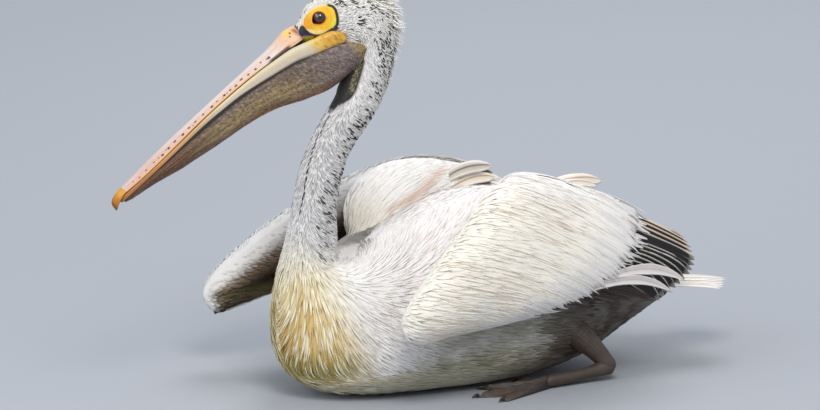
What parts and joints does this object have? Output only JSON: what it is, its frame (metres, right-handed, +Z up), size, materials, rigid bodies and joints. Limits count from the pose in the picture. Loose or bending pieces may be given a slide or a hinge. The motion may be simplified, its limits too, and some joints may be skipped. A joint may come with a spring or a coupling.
{
  "type": "spot-billed pelican",
  "caption": "Adult spot-billed pelican afloat with half-open wings, neck raised and closed bill pointed down to one side; a still life-size figure that lies on its belly.",
  "frame": {"origin": "middle of the small flat under the belly, on the ground", "axes": "-Y is ahead of the bird, +X its left side, +Z up"},
  "size_m": [0.4007, 0.8296, 0.5121],
  "materials": {
    "plumage": "soft white feathers",
    "neck_plumage": "short greyish-white feathers with dark streaks",
    "breast_plumage": "long yellow-stained feathers",
    "flight_feathers": "black flight feathers",
    "bill_horn": "satin horn",
    "nail_horn": "satin horn",
    "bar_horn": "satin horn",
    "pouch_skin": "bare wrinkled skin",
    "eye": "wet and glossy",
    "leg_skin": "scaled skin",
    "claw_horn": "dark horn"
  },
  "bodies": {
    "root": {"head": "neck_plumage", "neck_upper": "neck_plumage", "neck_middle": "neck_plumage", "neck_lower": "neck_plumage", "breast": "breast_plumage", "trunk": "plumage", "rump": "plumage", "tail": "plumage", "wing_left": "plumage", "wing_right": "plumage", "scapulars_right": "plumage", "tertials_left": "plumage", "tertials_right": "plumage", "flight_feathers_left": "flight_feathers", "flight_feathers_right": "flight_feathers", "bill_upper": "bill_horn", "bill_nail": "nail_horn", "bill_lower": "bar_horn", "pouch": "pouch_skin", "eye_left": "eye", "eye_right": "eye", "leg_left": "leg_skin", "foot_left": "leg_skin", "claw_left_1": "claw_horn", "claw_left_2": "claw_horn", "claw_left_3": "claw_horn", "claw_left_4": "claw_horn", "leg_right": "leg_skin", "foot_right": "leg_skin", "claw_right_1": "claw_horn", "claw_right_2": "claw_horn", "claw_right_3": "claw_horn", "claw_right_4": "claw_horn"}
  },
  "joints": []
}
